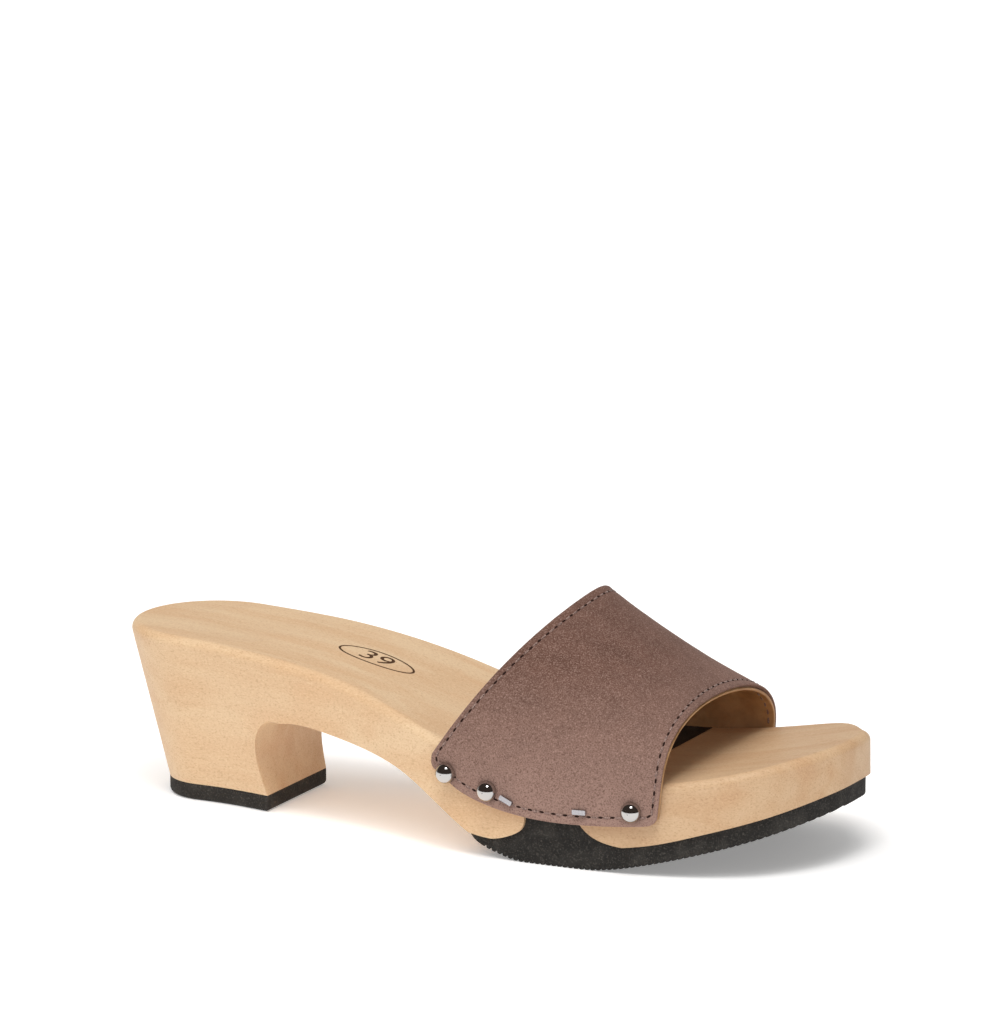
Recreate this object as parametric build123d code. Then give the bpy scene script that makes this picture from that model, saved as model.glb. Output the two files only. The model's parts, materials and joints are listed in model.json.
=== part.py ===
from build123d import *
import os
from math import cos, pi, sin

# A right-foot open-toe, open-back clog: a two-piece wooden sole on a block heel, joined by a rubber
# neck that lets the toe bend up, with a lined suede strap nailed and stapled to the sole's sides.
# +X points to the toe, -Y is the lateral (outer) side and +Z is up from the floor. The clog is drawn
# about the middle line of its heel and is written out about the middle of its box. Distances along
# the foot are counted from the back of the heel seat and grade with the foot's length.

# ---------------------------------------------------------------- overall sizes
foot_length = 245.0         # back of the heel to the tip of the toe
seat_height = 56.5          # top of the wood at the back of the heel seat
ball_height = 27.1          # top of the wood at the ball of the foot
toe_rise = 11.4             # the toe tip's top stands this far above the ball
tip_skew = 10.5             # the toe tip lies this far to the medial side

# ---------------------------------------------------------------- half-widths, (lateral, medial)
heel_radius = 30.0          # round back of the heel seat
rim_radius = 2.6            # rounding of the wood's top edge
seat_half = (32.6, 32.0)
waist_half = (33.5, 34.0)
shank_half = (39.3, 36.5)
tread_half = (42.0, 38.6)
ball_half = (42.3, 42.4)
toe_half = (38.0, 43.4)
nose_half = (28.8, 38.2)
nail_half = (12.5, 22.5)    # just behind the tip

# ---------------------------------------------------------------- heel block
tip_thickness = 5.4         # rubber heel tip
tip_radius = 16.4           # round back of the heel tip
tip_half = 20.3             # its half-width at the breast
tip_edge = 1.6              # rounding of its lower edge
heel_rake = 12.1            # the tip's back stands this far in from the seat's back
breast = 55.6               # front face of the heel at its foot
breast_hollow = 2.6         # the face curves back by this much half way up
shank_rise = 31.6           # underside of the shank just ahead of the heel
cup_depth = 0.6             # hollow of the heel seat
cup_half = 24.0             # half the width of that hollow

# ---------------------------------------------------------------- outsole and neck
outsole_thickness = 6.2
outsole_inset = 1.2         # the outsole's edge stands in from the wood
neck_height = 6.8           # top of the outsole under the neck
rear_nose = 154.8           # foremost point of the rear wood
toe_nose = 171.4            # rearmost point of the toe wood
band_rear = 149.5           # the neck's band on the footbed starts here
band_front = 181.7          # and ends here
flex_point = 164.5          # the toe bends about this line
body_gap = 0.3              # kept between pieces that move against each other

# ---------------------------------------------------------------- strap
suede_thickness = 1.35
lining_thickness = 0.9
glue_line = 0.05
rear_edge = 155.6           # crest of the rear edge
rear_crest = 76.3           # its height
rear_lean = 0.715           # forward lean of the rear edge, per unit of height
front_edge = 202.9          # crest of the front edge
front_crest = 49.9
front_lean = 0.102
crest_skew = (9.8, -7.9)    # the crest's offset to the medial side, at the rear and front edge
hem_height = 14.1           # lowest point of the strap's bottom edge
hem_corner = 4.5            # its rounded corners
belly = (1.8, 1.2)          # how far it swells above the sole, on the lateral and medial side

# ---------------------------------------------------------------- nails and staples
dome_radius = 3.25
shank_radius = 1.0
shank_length = 11.0
nail_fit = 0.05             # clearance round a nail's shank and a staple's legs
crown_length = 4.4
crown_width = 1.5
crown_height = 0.8
leg_width = 0.8
leg_length = 9.0
nail_places = {"rear": [(129.5, 26.0), (143.7, 22.1)], "toe": [(191.1, 20.7)]}
staple_places = {"rear": [(150.2, 20.0, 24)], "toe": [(174.6, 19.0, -2)]}

LATERAL, MEDIAL = -1, 1
SIDES = {"lateral": LATERAL, "medial": MEDIAL}
DESIGN_LENGTH = 245.0       # the foot length for which the distances are given
WIDE = 80.0                 # half-width of the cutting prisms, wider than the foot
TALL = 120.0                # their height, taller than the clog
HOOP_STEPS = 6              # points on each half of a hoop of the strap
HOOP_COUNT = 9              # hoops that the strap is drawn through
HOOP_SPAN = (-0.06, 1.06)   # from behind its rear edge to ahead of its front edge


def along(distance):
    """X of a distance from the back of the heel, graded with the foot's length."""
    return distance * foot_length / DESIGN_LENGTH - foot_length / 2


def mix(a, b, share):
    return a + (b - a) * share


def profile(points, **options):
    """A spline in the XZ plane through (distance, height) points."""
    return Spline(*[(along(s), 0, z) for s, z in points], **options)


def closed(*edges):
    """A face in the XZ plane: the given curves in order, joined by straight lines."""
    ring = []
    for edge, following in zip(edges, edges[1:] + edges[:1]):
        ring.append(edge)
        if (edge @ 1 - following @ 0).length > 1e-6:
            ring.append(Line(edge @ 1, following @ 0))
    return Face(Wire(ring))


def across(face):
    """A face in the XZ plane carried right across the foot."""
    return extrude(face, WIDE, dir=(0, 1, 0), both=True)


def crossing(edge, x):
    """Where along a curve that runs towards the toe, from 0 to 1, it passes X."""
    low, high = 0.0, 1.0
    for _ in range(26):
        middle = (low + high) / 2
        low, high = (middle, high) if (edge @ middle).X < x else (low, middle)
    return low


# ---------------------------------------------------------------- walls of the sole, from its two plans
def plan(height, radius, back, stations, inset=0.0):
    """Lateral side, medial side and round back of the sole's outline at one height."""
    sides = []
    for index, side in enumerate((LATERAL, MEDIAL)):
        points = [(along(0) + back + radius, side * (radius - inset), height)]
        points += [(along(s), side * (half[index] - inset), height) for s, half in stations]
        points += [(foot_length / 2 - inset, tip_skew, height)]
        sides.append(Spline(*points, tangents=[(1, 0, 0), (0, -side, 0)]))
    lateral, medial = sides
    return [lateral, medial, ThreePointArc(medial @ 0, (along(0) + back + inset, 0, height), lateral @ 0)]


forefoot = [(118, shank_half), (147, tread_half), (172, ball_half), (212, toe_half),
            (229, nose_half), (240.5, nail_half)]
above_heel = [(58, seat_half), (88, waist_half)]
below_heel = [(breast, (tip_half, tip_half)), (72, (24.5, 24.5)), (96, (32.0, 33.0))]
top_plan = plan(seat_height, heel_radius, 0, above_heel + forefoot)
foot_plan = plan(tip_thickness, tip_radius, heel_rake, below_heel + forefoot)
walls = loft([Face(Wire(foot_plan)), Face(Wire(top_plan))], ruled=True)

# ---------------------------------------------------------------- the sole's side view
fall = seat_height - ball_height
top_line = profile([(-4, seat_height), (30, ball_height + 0.965 * fall), (56.5, ball_height + 0.888 * fall),
                    (86.5, ball_height + 0.704 * fall), (116.5, ball_height + 0.378 * fall),
                    (143, ball_height + 0.092 * fall), (168, ball_height), (191.5, ball_height + 0.8),
                    (216, ball_height + 4.8), (251, ball_height + toe_rise + 1.4)])
breast_line = profile([(breast, tip_thickness), (breast - 0.85 * breast_hollow, mix(tip_thickness, shank_rise, 0.33)),
                       (breast - breast_hollow, mix(tip_thickness, shank_rise, 0.62)),
                       (breast + 0.3, shank_rise - 2.8), (breast + 7.9, shank_rise - 0.6)])
shank_line = profile([(63.5, shank_rise - 0.6), (71, shank_rise), (82, shank_rise - 1.4), (100, 26.8),
                      (111, 23.3), (121, 17.6), (130, 11.3), (135.6, neck_height + 0.8)])
sole_line = profile([(135.6, neck_height + 0.8), (142, neck_height - 0.2), (155, neck_height - 0.2),
                     (171.5, neck_height + 0.4), (185, neck_height + 1.4), (197, neck_height + 3.4),
                     (211.5, neck_height + 7.4), (231.5, neck_height + 13.3), (251, neck_height + 20.8)])
heel_foot = Line((along(-4), 0, tip_thickness), (along(breast), 0, tip_thickness))
block_side = closed(heel_foot, breast_line, shank_line, sole_line, top_line.reversed())
block = walls & across(block_side)
footbed = block.faces().filter_by(lambda face: face.normal_at(face.center()).Z > 0.5)
rim = footbed.edges().filter_by(lambda edge: abs(edge.center().Y) > 1)
block = fillet(rim, rim_radius)

# the hollow of the heel seat: a shallow ball, let in square to the sloping footbed
cup_radius = (cup_half**2 + cup_depth**2) / (2 * cup_depth)
seat_middle = top_line @ crossing(top_line, along(38))
seat_normal = Vector(0.075, 0, 1).normalized()
block -= Pos(*(seat_middle + seat_normal * (cup_radius - cup_depth))) * Sphere(cup_radius)


# ---------------------------------------------------------------- the two pieces of wood
def wood_region(face_line, end):
    """The side view of the space behind or ahead of a face on the neck, closed far off at the end."""
    low, high = face_line @ 0, face_line @ 1
    corners = [high, (high.X, 0, TALL), (end, 0, TALL), (end, 0, -TALL), (low.X, 0, -TALL), low]
    return closed(face_line, *[Line(a, b) for a, b in zip(corners, corners[1:])])


rear_face = profile([(139, neck_height - 0.6), (145.5, neck_height), (150.5, neck_height + 1.6),
                     (rear_nose - 0.9, neck_height + 4.0), (rear_nose, neck_height + 7.4),
                     (rear_nose - 1.4, neck_height + 13), (band_rear, ball_height + 1.2),
                     (band_rear - 3, ball_height + 8)])
toe_face = profile([(191, neck_height + 1.5), (184, neck_height + 2.0), (176.4, neck_height + 4.6),
                    (toe_nose + 1.6, neck_height + 7.8), (toe_nose, neck_height + 11.4),
                    (toe_nose + 2.8, neck_height + 15.6), (band_front, ball_height + 0.2),
                    (band_front + 9, ball_height + 6)])
rear_region = wood_region(rear_face, -foot_length)
toe_region = wood_region(toe_face, foot_length)
rear_sole = block & across(rear_region)
toe_sole = block & across(toe_region)

# ---------------------------------------------------------------- outsole, neck and heel tip
flex_x = along(flex_point)
tread_start = Vector(along(158), 0, 0)
tread_end = Vector(along(172), 0, 0)
rocker = Spline(sole_line @ 0, (along(140.3), 0, 3.6), (along(147), 0, 1.3), tread_start,
                tangents=[(0.5, 0, -1), (1, 0, 0)])
toe_bottom = Spline(tread_end, *[(along(s), 0, neck_height + rise - outsole_thickness)
                                 for s, rise in [(191.5, 2.1), (211.5, 7.4), (231.5, 13.6), (251, 20.8)]],
                    tangents=[(1, 0, 0), (1, 0, 0.36)])
outsole_side = closed(rocker, Line(tread_start, tread_end), toe_bottom, sole_line.reversed())
inset_plan = plan(0, heel_radius, 0, above_heel + forefoot, outsole_inset)
outsole_plan = extrude(Face(Wire(inset_plan)), seat_height, dir=(0, 0, 1))
outsole = outsole_plan & across(outsole_side)
ahead = Pos(flex_x + body_gap / 2 + WIDE * 2, 0, 0) * Box(WIDE * 4, WIDE * 2, TALL * 2)
behind = Pos(flex_x - body_gap / 2 - WIDE * 2, 0, 0) * Box(WIDE * 4, WIDE * 2, TALL * 2)
outsole_rear = outsole & behind
outsole_toe = outsole & ahead

flex_neck = (block & outsole_plan) - across(rear_region)
for clear_of, shift in ((toe_region, (-body_gap, 0, 0)), (toe_region, (0, 0, -body_gap))):
    flex_neck -= Pos(*shift) * across(clear_of)
flex_neck -= (Pos(0, 0, body_gap) * across(outsole_side)) & ahead

heel_plan = Face(Wire(foot_plan)) & Pos(along(breast) - WIDE, 0, tip_thickness) * Rectangle(2 * WIDE, 2 * WIDE)
heel_tip = extrude(heel_plan, -tip_thickness)
heel_tip = fillet(heel_tip.edges().group_by(Axis.Z)[0], tip_edge)


# ---------------------------------------------------------------- strap
strap_thickness = body_gap + lining_thickness + glue_line + suede_thickness
hem_below = hem_height - 7   # the hoops run on below the trimmed edge


def half_width(x, side):
    """Half-width of the footbed at X, on one side."""
    edge = top_plan[0] if side == LATERAL else top_plan[1]
    return abs((edge @ crossing(edge, x)).Y)


def strap_x(share, height):
    """X on the strap at a height, from its rear edge (share 0) to its front edge (share 1)."""
    crest_x = mix(along(rear_edge), along(front_edge), share)
    return crest_x + mix(rear_lean, front_lean, share) * (height - mix(rear_crest, front_crest, share))


def footbed_crossing(share):
    """Height at which a hoop passes the footbed's edge."""
    height = ball_height
    for _ in range(8):
        height = (top_line @ crossing(top_line, strap_x(share, height))).Z - 1
    return height


def half_hoop(share, side):
    """The outer line of a hoop from its foot up to its crest, on one side, as (y, z)."""
    crest_z, crest_y = mix(rear_crest, front_crest, share), mix(*crest_skew, share)
    top_z = footbed_crossing(share)
    wall = half_width(strap_x(share, top_z), side) + strap_thickness
    fullness = mix(1.3, 0.92, share) if side == LATERAL else 0.9
    roundness = mix(0.83, 0.86, share) if side == LATERAL else mix(0.9, 0.97, share)
    swell = belly[0] if side == LATERAL else belly[1]
    points = []
    for height in (hem_below, mix(hem_below, top_z, 0.35), mix(hem_below, top_z, 0.7)):
        points.append((side * (half_width(strap_x(share, height), side) + strap_thickness), height))
    for step in range(HOOP_STEPS):
        angle = pi / 2 * step / HOOP_STEPS
        reach = (wall - side * crest_y) * cos(angle) ** fullness + swell * sin(2 * angle) ** 2
        points.append((crest_y + side * reach, mix(top_z, crest_z, sin(angle) ** roundness)))
    return points


def inset(points, depth):
    """The same open line moved square to itself, inwards."""
    moved = []
    for index, (y, z) in enumerate(points):
        before, after = points[max(index - 1, 0)], points[min(index + 1, len(points) - 1)]
        run = Vector(after[0] - before[0], after[1] - before[1]).normalized()
        moved.append((y + run.Y * depth, z - run.X * depth))
    return moved


def hoop(share, outer, inner):
    """The closed section of one layer of the strap, between two depths below its outer face."""
    crest = [(mix(*crest_skew, share), mix(rear_crest, front_crest, share))]
    line = half_hoop(share, LATERAL) + crest + half_hoop(share, MEDIAL)[::-1]
    rims = [Spline(*[(strap_x(share, z), y, z) for y, z in inset(line, depth)]) for depth in (outer, inner)]
    return Wire([rims[0], Line(rims[0] @ 1, rims[1] @ 1), rims[1], Line(rims[1] @ 0, rims[0] @ 0)])


rear_hem_z, front_hem_z = hem_height + 14.6, hem_height + 2.2
rear_hem = Vector(strap_x(0, rear_hem_z), 0, rear_hem_z)
front_hem = Vector(strap_x(1, front_hem_z), 0, front_hem_z)
hem = Spline(rear_hem, (along(130.8), 0, hem_height + 7.6), (along(145.5), 0, hem_height + 2.3),
             (along(165), 0, hem_height), (along(186), 0, hem_height + 1.1), front_hem)
strap_top = Line((strap_x(1, TALL), 0, TALL), (strap_x(0, TALL), 0, TALL))
strap_side = closed(hem, Line(front_hem, strap_top @ 0), strap_top)
hem_corners = strap_side.vertices().filter_by(lambda v: v.Z < rear_hem_z + 1)
strap_trim = across(fillet(hem_corners, hem_corner))


def layer(outer, inner):
    """One layer of the strap between two depths, trimmed to the strap's side view."""
    shares = [mix(*HOOP_SPAN, step / (HOOP_COUNT - 1)) for step in range(HOOP_COUNT)]
    return Solid.make_loft([hoop(share, outer, inner) for share in shares]) & strap_trim


upper_suede = layer(0, suede_thickness)
upper_lining = layer(suede_thickness + glue_line, strap_thickness - body_gap)


# ---------------------------------------------------------------- nails and staples
def on_wall(distance, height, side, standoff):
    """A plane square to the sole's side wall, standing off from the wood; its X runs towards the toe."""
    edge = top_plan[0] if side == LATERAL else top_plan[1]
    place = crossing(edge, along(distance))
    point, run = edge @ place, edge % place
    normal = Vector(-side * run.Y, side * run.X, 0)
    return Plane(Vector(point.X, point.Y, height) + normal * standoff, x_dir=run, z_dir=normal)


def nail():
    """A dome-headed nail, its head's underside on Z 0."""
    taper = shank_length - 2.5
    side = Polyline((0, dome_radius), (0, -shank_length), (shank_radius, -taper), (shank_radius, 0),
                    (dome_radius, 0))
    dome = CenterArc((0, 0), dome_radius, 0, 90)
    return revolve(Plane.XZ * make_face(side + dome), Axis.Z)


def nail_hole(clearance):
    return Pos(0, 0, -shank_length) * extrude(Circle(shank_radius + clearance), shank_length + hole_mouth)


def staple():
    """A flat-crowned staple, its crown's underside on Z 0."""
    crown = extrude(RectangleRounded(crown_length, crown_width, 0.3), crown_height)
    legs = Locations((-leg_span / 2, 0), (leg_span / 2, 0))
    return crown + [place * extrude(Rectangle(leg_width, leg_width), -leg_length) for place in legs]


def staple_holes(clearance):
    slot = Rectangle(leg_width + 2 * clearance, leg_width + 2 * clearance)
    legs = Locations((-leg_span / 2, 0), (leg_span / 2, 0))
    return [place * Pos(0, 0, -leg_length) * extrude(slot, leg_length + hole_mouth) for place in legs]


hole_mouth = 2.0            # holes run on past the strap's face
head_standoff = strap_thickness + body_gap
leg_span = crown_length - leg_width
woods = {"rear": rear_sole, "toe": toe_sole}
fixings = {}
for end in woods:
    # the strap moves with the rear wood, so the toe's fixings pass it with room to spare
    play = nail_fit if end == "rear" else body_gap
    for side_name, side in SIDES.items():
        for distance, height in nail_places[end]:
            place = on_wall(distance, height, side, head_standoff)
            fixings.setdefault(f"{end}_nail_{side_name}", []).append(place * nail())
            woods[end] -= place * nail_hole(nail_fit)
            upper_suede -= place * nail_hole(play)
            upper_lining -= place * nail_hole(play)
        for distance, height, tilt in staple_places[end]:
            place = on_wall(distance, height, side, head_standoff) * Rot(0, 0, side * tilt)
            fixings.setdefault(f"{end}_staple_{side_name}", []).append(place * staple())
            for hole in staple_holes(nail_fit):
                woods[end] -= place * hole
                flex_neck -= place * hole
            for hole in staple_holes(play):
                upper_suede -= place * hole
                upper_lining -= place * hole

nodes = {
    "rear_sole": woods["rear"],
    "toe_sole": woods["toe"],
    "flex_neck": flex_neck,
    "outsole_rear": outsole_rear,
    "outsole_toe": outsole_toe,
    "heel_tip": heel_tip,
    "upper_suede": upper_suede,
    "upper_lining": upper_lining,
}
nodes |= {name: Compound(group) for name, group in fixings.items()}
os.makedirs("parts", exist_ok=True)
boxes = [shape.bounding_box() for shape in nodes.values()]
middle_x = (min(box.min.X for box in boxes) + max(box.max.X for box in boxes)) / 2
middle_y = (min(box.min.Y for box in boxes) + max(box.max.Y for box in boxes)) / 2
for name, shape in nodes.items():
    export_step(Pos(-middle_x, -middle_y, 0) * shape, f"parts/{name}.step")
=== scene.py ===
import json
import math

import bpy
import numpy as np
from bpy.props import FloatProperty, FloatVectorProperty, PointerProperty, StringProperty
from mathutils import Matrix, Vector, noise
from mathutils.bvhtree import BVHTree

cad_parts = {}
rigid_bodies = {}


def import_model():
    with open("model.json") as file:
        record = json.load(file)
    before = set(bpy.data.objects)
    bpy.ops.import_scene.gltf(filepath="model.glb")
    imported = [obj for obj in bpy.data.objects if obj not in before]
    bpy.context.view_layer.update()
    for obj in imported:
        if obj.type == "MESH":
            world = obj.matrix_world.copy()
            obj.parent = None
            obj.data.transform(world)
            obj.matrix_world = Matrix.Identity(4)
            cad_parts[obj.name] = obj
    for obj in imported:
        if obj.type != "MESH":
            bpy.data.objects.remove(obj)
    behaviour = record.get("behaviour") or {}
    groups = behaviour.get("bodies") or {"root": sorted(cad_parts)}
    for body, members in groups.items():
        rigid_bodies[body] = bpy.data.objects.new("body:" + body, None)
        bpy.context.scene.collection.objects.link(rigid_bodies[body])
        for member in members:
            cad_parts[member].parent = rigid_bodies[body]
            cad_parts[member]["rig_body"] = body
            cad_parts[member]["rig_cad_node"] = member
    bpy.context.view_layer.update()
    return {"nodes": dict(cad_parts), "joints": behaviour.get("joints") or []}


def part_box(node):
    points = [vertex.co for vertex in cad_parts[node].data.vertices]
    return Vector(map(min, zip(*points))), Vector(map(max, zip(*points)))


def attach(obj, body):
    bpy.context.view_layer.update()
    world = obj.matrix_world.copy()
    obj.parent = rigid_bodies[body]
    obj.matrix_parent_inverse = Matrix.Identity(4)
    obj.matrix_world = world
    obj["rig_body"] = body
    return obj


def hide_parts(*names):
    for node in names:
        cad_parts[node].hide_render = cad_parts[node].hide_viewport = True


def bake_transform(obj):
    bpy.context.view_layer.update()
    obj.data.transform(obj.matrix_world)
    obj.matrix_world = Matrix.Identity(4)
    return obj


bl_info = {
    "name": "Wooden Clog",
    "version": (1, 0, 0),
    "blender": (4, 5, 0),
    "location": "3D View > Sidebar > Clog",
    "description": "Dresses the clog's frame: waxed wood, rippled rubber, a stitched suede strap and its nails",
    "category": "Object",
}

# The frame is a right-foot clog: +X points to the toe, -Y is the lateral side and +Z is up from the floor.
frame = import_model()
MM = 0.001

LATERAL, MEDIAL = -1, 1
heel_low, heel_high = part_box("heel_tip")
MIDDLE_Y = (heel_low.y + heel_high.y) / 2     # the middle line of the heel
FLEX_POINT = 164.5                            # the toe bends about this line, from the back of the heel seat
FLEX_X = frame["joints"][0]["pos_m"][0]
FAR = 0.2                                     # probes start this far from the clog's middle


# ---------------------------------------------------------------- helpers: numbers and probes
def linear(hex_colour):
    """A linear RGBA colour from an sRGB hex value."""
    channels = [int(hex_colour[place:place + 2], 16) / 255 for place in (0, 2, 4)]
    return tuple(c / 12.92 if c <= 0.04045 else ((c + 0.055) / 1.055) ** 2.4 for c in channels) + (1.0,)


def along(distance):
    """X of a distance in millimetres from the back of the heel seat."""
    return FLEX_X + (distance - FLEX_POINT) * MM


def mix(a, b, share):
    return a + (b - a) * share


def surface_of(*meshes):
    """A search tree over the faces of some meshes."""
    points, faces = [], []
    for mesh in meshes:
        faces += [[len(points) + v for v in face.vertices] for face in mesh.polygons]
        points += [v.co.copy() for v in mesh.vertices]
    return BVHTree.FromPolygons(points, faces)


def node_surface(*names):
    return surface_of(*[frame["nodes"][name].data for name in names])


# ---------------------------------------------------------------- helpers: modelling
def deselect():
    if bpy.context.object and bpy.context.object.mode != "OBJECT":
        bpy.ops.object.mode_set(mode="OBJECT")
    bpy.ops.object.select_all(action="DESELECT")


def select_only(*objects):
    deselect()
    for item in objects:
        item.select_set(True)
    bpy.context.view_layer.objects.active = objects[0]


def pick(piece, test):
    """Selects the points of a piece that pass a test, and leaves it in edit mode."""
    select_only(piece)
    bpy.ops.object.mode_set(mode="EDIT")
    bpy.ops.mesh.select_mode(type="VERT")
    bpy.ops.mesh.select_all(action="DESELECT")
    bpy.ops.object.mode_set(mode="OBJECT")
    for vertex in piece.data.vertices:
        vertex.select = bool(test(vertex.co))
    bpy.ops.object.mode_set(mode="EDIT")


def named(name):
    """The piece just added, under its own name."""
    piece = bpy.context.object
    piece.name = name
    piece.data.name = name
    return piece


def apply_modifier(piece, kind, **settings):
    """Adds a modifier to a piece and applies it."""
    select_only(piece)
    modifier = piece.modifiers.new(kind.lower(), kind)
    for key, value in settings.items():
        setattr(modifier, key, value)
    bpy.ops.object.modifier_apply(modifier=modifier.name)


def settle(piece):
    """Applies a piece's place, so that its object sits at the origin."""
    select_only(piece)
    bpy.ops.object.transform_apply(location=True, rotation=True, scale=True)


def copy_of_nodes(name, *nodes):
    """One merged mesh copied from CAD nodes."""
    copies = []
    for node in nodes:
        twin = frame["nodes"][node].copy()
        twin.data = twin.data.copy()
        twin.parent = None
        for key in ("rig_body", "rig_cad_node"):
            del twin[key]
        bpy.context.scene.collection.objects.link(twin)
        copies.append(twin)
    select_only(*copies)
    if len(copies) > 1:
        bpy.ops.object.join()
    piece = named(name)
    bpy.ops.object.mode_set(mode="EDIT")
    bpy.ops.mesh.select_all(action="SELECT")
    bpy.ops.mesh.remove_doubles(threshold=0.002 * MM)
    bpy.ops.mesh.customdata_custom_splitnormals_clear()
    bpy.ops.object.mode_set(mode="OBJECT")
    return piece


def slice_along(piece, start, end, step):
    """Cuts edges into a piece every step along X, so that it can bend there."""
    select_only(piece)
    bpy.ops.object.mode_set(mode="EDIT")
    for place in np.arange(start, end, step):
        bpy.ops.mesh.select_all(action="SELECT")
        bpy.ops.mesh.bisect(plane_co=(place, 0, 0), plane_no=(1, 0, 0))
    bpy.ops.object.mode_set(mode="OBJECT")


def give(piece, *materials):
    """Gives a piece its materials, in order."""
    piece.data.materials.clear()
    for material in materials:
        piece.data.materials.append(material)


def smooth(piece, degrees=35):
    select_only(piece)
    bpy.ops.object.shade_smooth_by_angle(angle=math.radians(degrees))


# ---------------------------------------------------------------- helpers: materials
def add(tree, kind, settings=(), links=()):
    """Adds a node, sets its attributes and sockets, and links its inputs."""
    node = tree.nodes.new(kind)
    for key, value in dict(settings).items():
        if isinstance(key, str) and hasattr(node, key):
            setattr(node, key, value)
        else:
            node.inputs[key].default_value = value
    for key, socket in dict(links).items():
        tree.links.new(socket, node.inputs[key])
    return node


def new_material(name, settings):
    """An empty material with a Principled shader, as (material, tree, shader)."""
    material = bpy.data.materials.new(name)
    material.use_nodes = True
    tree = material.node_tree
    tree.nodes.clear()
    shader = add(tree, "ShaderNodeBsdfPrincipled", settings)
    add(tree, "ShaderNodeOutputMaterial", {}, {"Surface": shader.outputs[0]})
    return material, tree, shader


def grain(tree, coordinates, size, **settings):
    """Noise whose grains measure size = (x, y, z) millimetres, from 0 to 1."""
    scale = [1 / (length * MM) for length in size]
    placed = add(tree, "ShaderNodeMapping", {"Scale": scale}, {"Vector": coordinates})
    chosen = {"Scale": 1.0, "Detail": 3.0, "Roughness": 0.55} | settings
    return add(tree, "ShaderNodeTexNoise", chosen, {"Vector": placed.outputs[0]}).outputs[0]


def ranged(tree, value, low, high, to_low=0.0, to_high=1.0):
    """A value stretched from one range to another, and held inside it."""
    limits = {"From Min": low, "From Max": high, "To Min": to_low, "To Max": to_high}
    return add(tree, "ShaderNodeMapRange", limits, {"Value": value}).outputs[0]


def blended(tree, factor, first, second, how="MIX"):
    """Two colours, each a value or a socket, mixed by a factor."""
    values, links = {"data_type": "RGBA", "blend_type": how}, {}
    for key, item in ((0, factor), (6, first), (7, second)):
        (links if isinstance(item, bpy.types.NodeSocket) else values)[key] = item
    return add(tree, "ShaderNodeMix", values, links).outputs[2]


def bump(tree, height, depth, strength=1.0):
    """A bump of a depth in millimetres."""
    settings = {"Distance": depth * MM, "Strength": strength}
    return add(tree, "ShaderNodeBump", settings, {"Height": height}).outputs[0]


def object_coordinates(tree):
    return add(tree, "ShaderNodeTexCoord").outputs["Object"]


def waxed_alder(finish, name, tone):
    """Alder, sanded and waxed: pale tan with short darker fibres along the foot and a satin gloss."""
    material, tree, shader = new_material(name, {"IOR": 1.5, "Specular IOR Level": 0.4})
    place = object_coordinates(tree)
    fibre = grain(tree, place, (3.2, 0.55, 0.55), Detail=2.0)       # short fibres
    speck = grain(tree, place, (0.75, 0.45, 0.45), Detail=1.0)      # pores, drawn coarse enough to show
    rings = grain(tree, place, (95, 9, 13), Detail=3.0, Distortion=0.6)
    cloud = grain(tree, place, (34, 17, 17), Detail=2.0)            # warmer patches
    colour = blended(tree, ranged(tree, rings, 0.38, 0.64), finish.wood, finish.wood_shade)
    colour = blended(tree, ranged(tree, cloud, 0.5, 0.72, 0.0, 0.3), colour, finish.wood_warm)
    colour = blended(tree, ranged(tree, fibre, 0.56, 0.76, 0.0, 0.3), colour, finish.wood_fibre)
    colour = blended(tree, ranged(tree, speck, 0.56, 0.74, 0.0, 0.48), colour, finish.wood_fibre)
    colour = blended(tree, ranged(tree, speck, 0.44, 0.26, 0.0, 0.35), colour, finish.wood_light)
    # painted shade: the toe's copy of the wood is multiplied darker here, the rear's by white
    colour = blended(tree, 1.0, colour, tone, how="MULTIPLY")
    tree.links.new(colour, shader.inputs["Base Color"])
    tree.links.new(ranged(tree, fibre, 0.3, 0.7, 0.44, 0.56), shader.inputs["Roughness"])
    tree.links.new(bump(tree, fibre, 0.03, 0.5), shader.inputs["Normal"])
    return material


def brushed_suede(finish):
    """Velour suede, buffed: a matt nap of short fibres that lies light in some patches and dark in others, with
    painted light from the floor that makes it lighter towards the hem.
    """
    settings = {"Roughness": 0.95, "Specular IOR Level": 0.12, "Sheen Weight": 0.22, "Sheen Roughness": 0.45,
                "Sheen Tint": linear("C9B0A6")}
    material, tree, shader = new_material("brushed_suede", settings)
    place = object_coordinates(tree)
    patch = grain(tree, place, (11, 7, 9), Detail=4.0, Roughness=0.6)     # nap brushed one way or another
    tuft = grain(tree, place, (1.5, 1.5, 1.5), Detail=3.0, Roughness=0.7)
    fibre = grain(tree, place, (0.42, 0.42, 0.42), Detail=2.0)            # fibre ends, drawn coarse to show
    height = add(tree, "ShaderNodeSeparateXYZ", {}, {"Vector": place}).outputs["Z"]
    colour = blended(tree, ranged(tree, patch, 0.3, 0.66, 0.4, 1.0), finish.suede_dark, finish.suede)
    painted_floor_bounce = ranged(tree, height, 60 * MM, 16 * MM, 0.0, 0.75)       # painted light from the floor: lighter towards the hem
    colour = blended(tree, painted_floor_bounce, colour, finish.suede_fibres_and_bounce)
    colour = blended(tree, ranged(tree, tuft, 0.5, 0.78, 0.0, 0.3), colour, finish.suede_fibres_and_bounce)
    colour = blended(tree, ranged(tree, fibre, 0.52, 0.72, 0.0, 0.7), colour, finish.suede_fibres_and_bounce)
    colour = blended(tree, ranged(tree, fibre, 0.48, 0.3, 0.0, 0.7), colour, finish.suede_dark)
    tree.links.new(colour, shader.inputs["Base Color"])
    tree.links.new(bump(tree, fibre, 0.1, 0.7), shader.inputs["Normal"])
    return material


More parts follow.
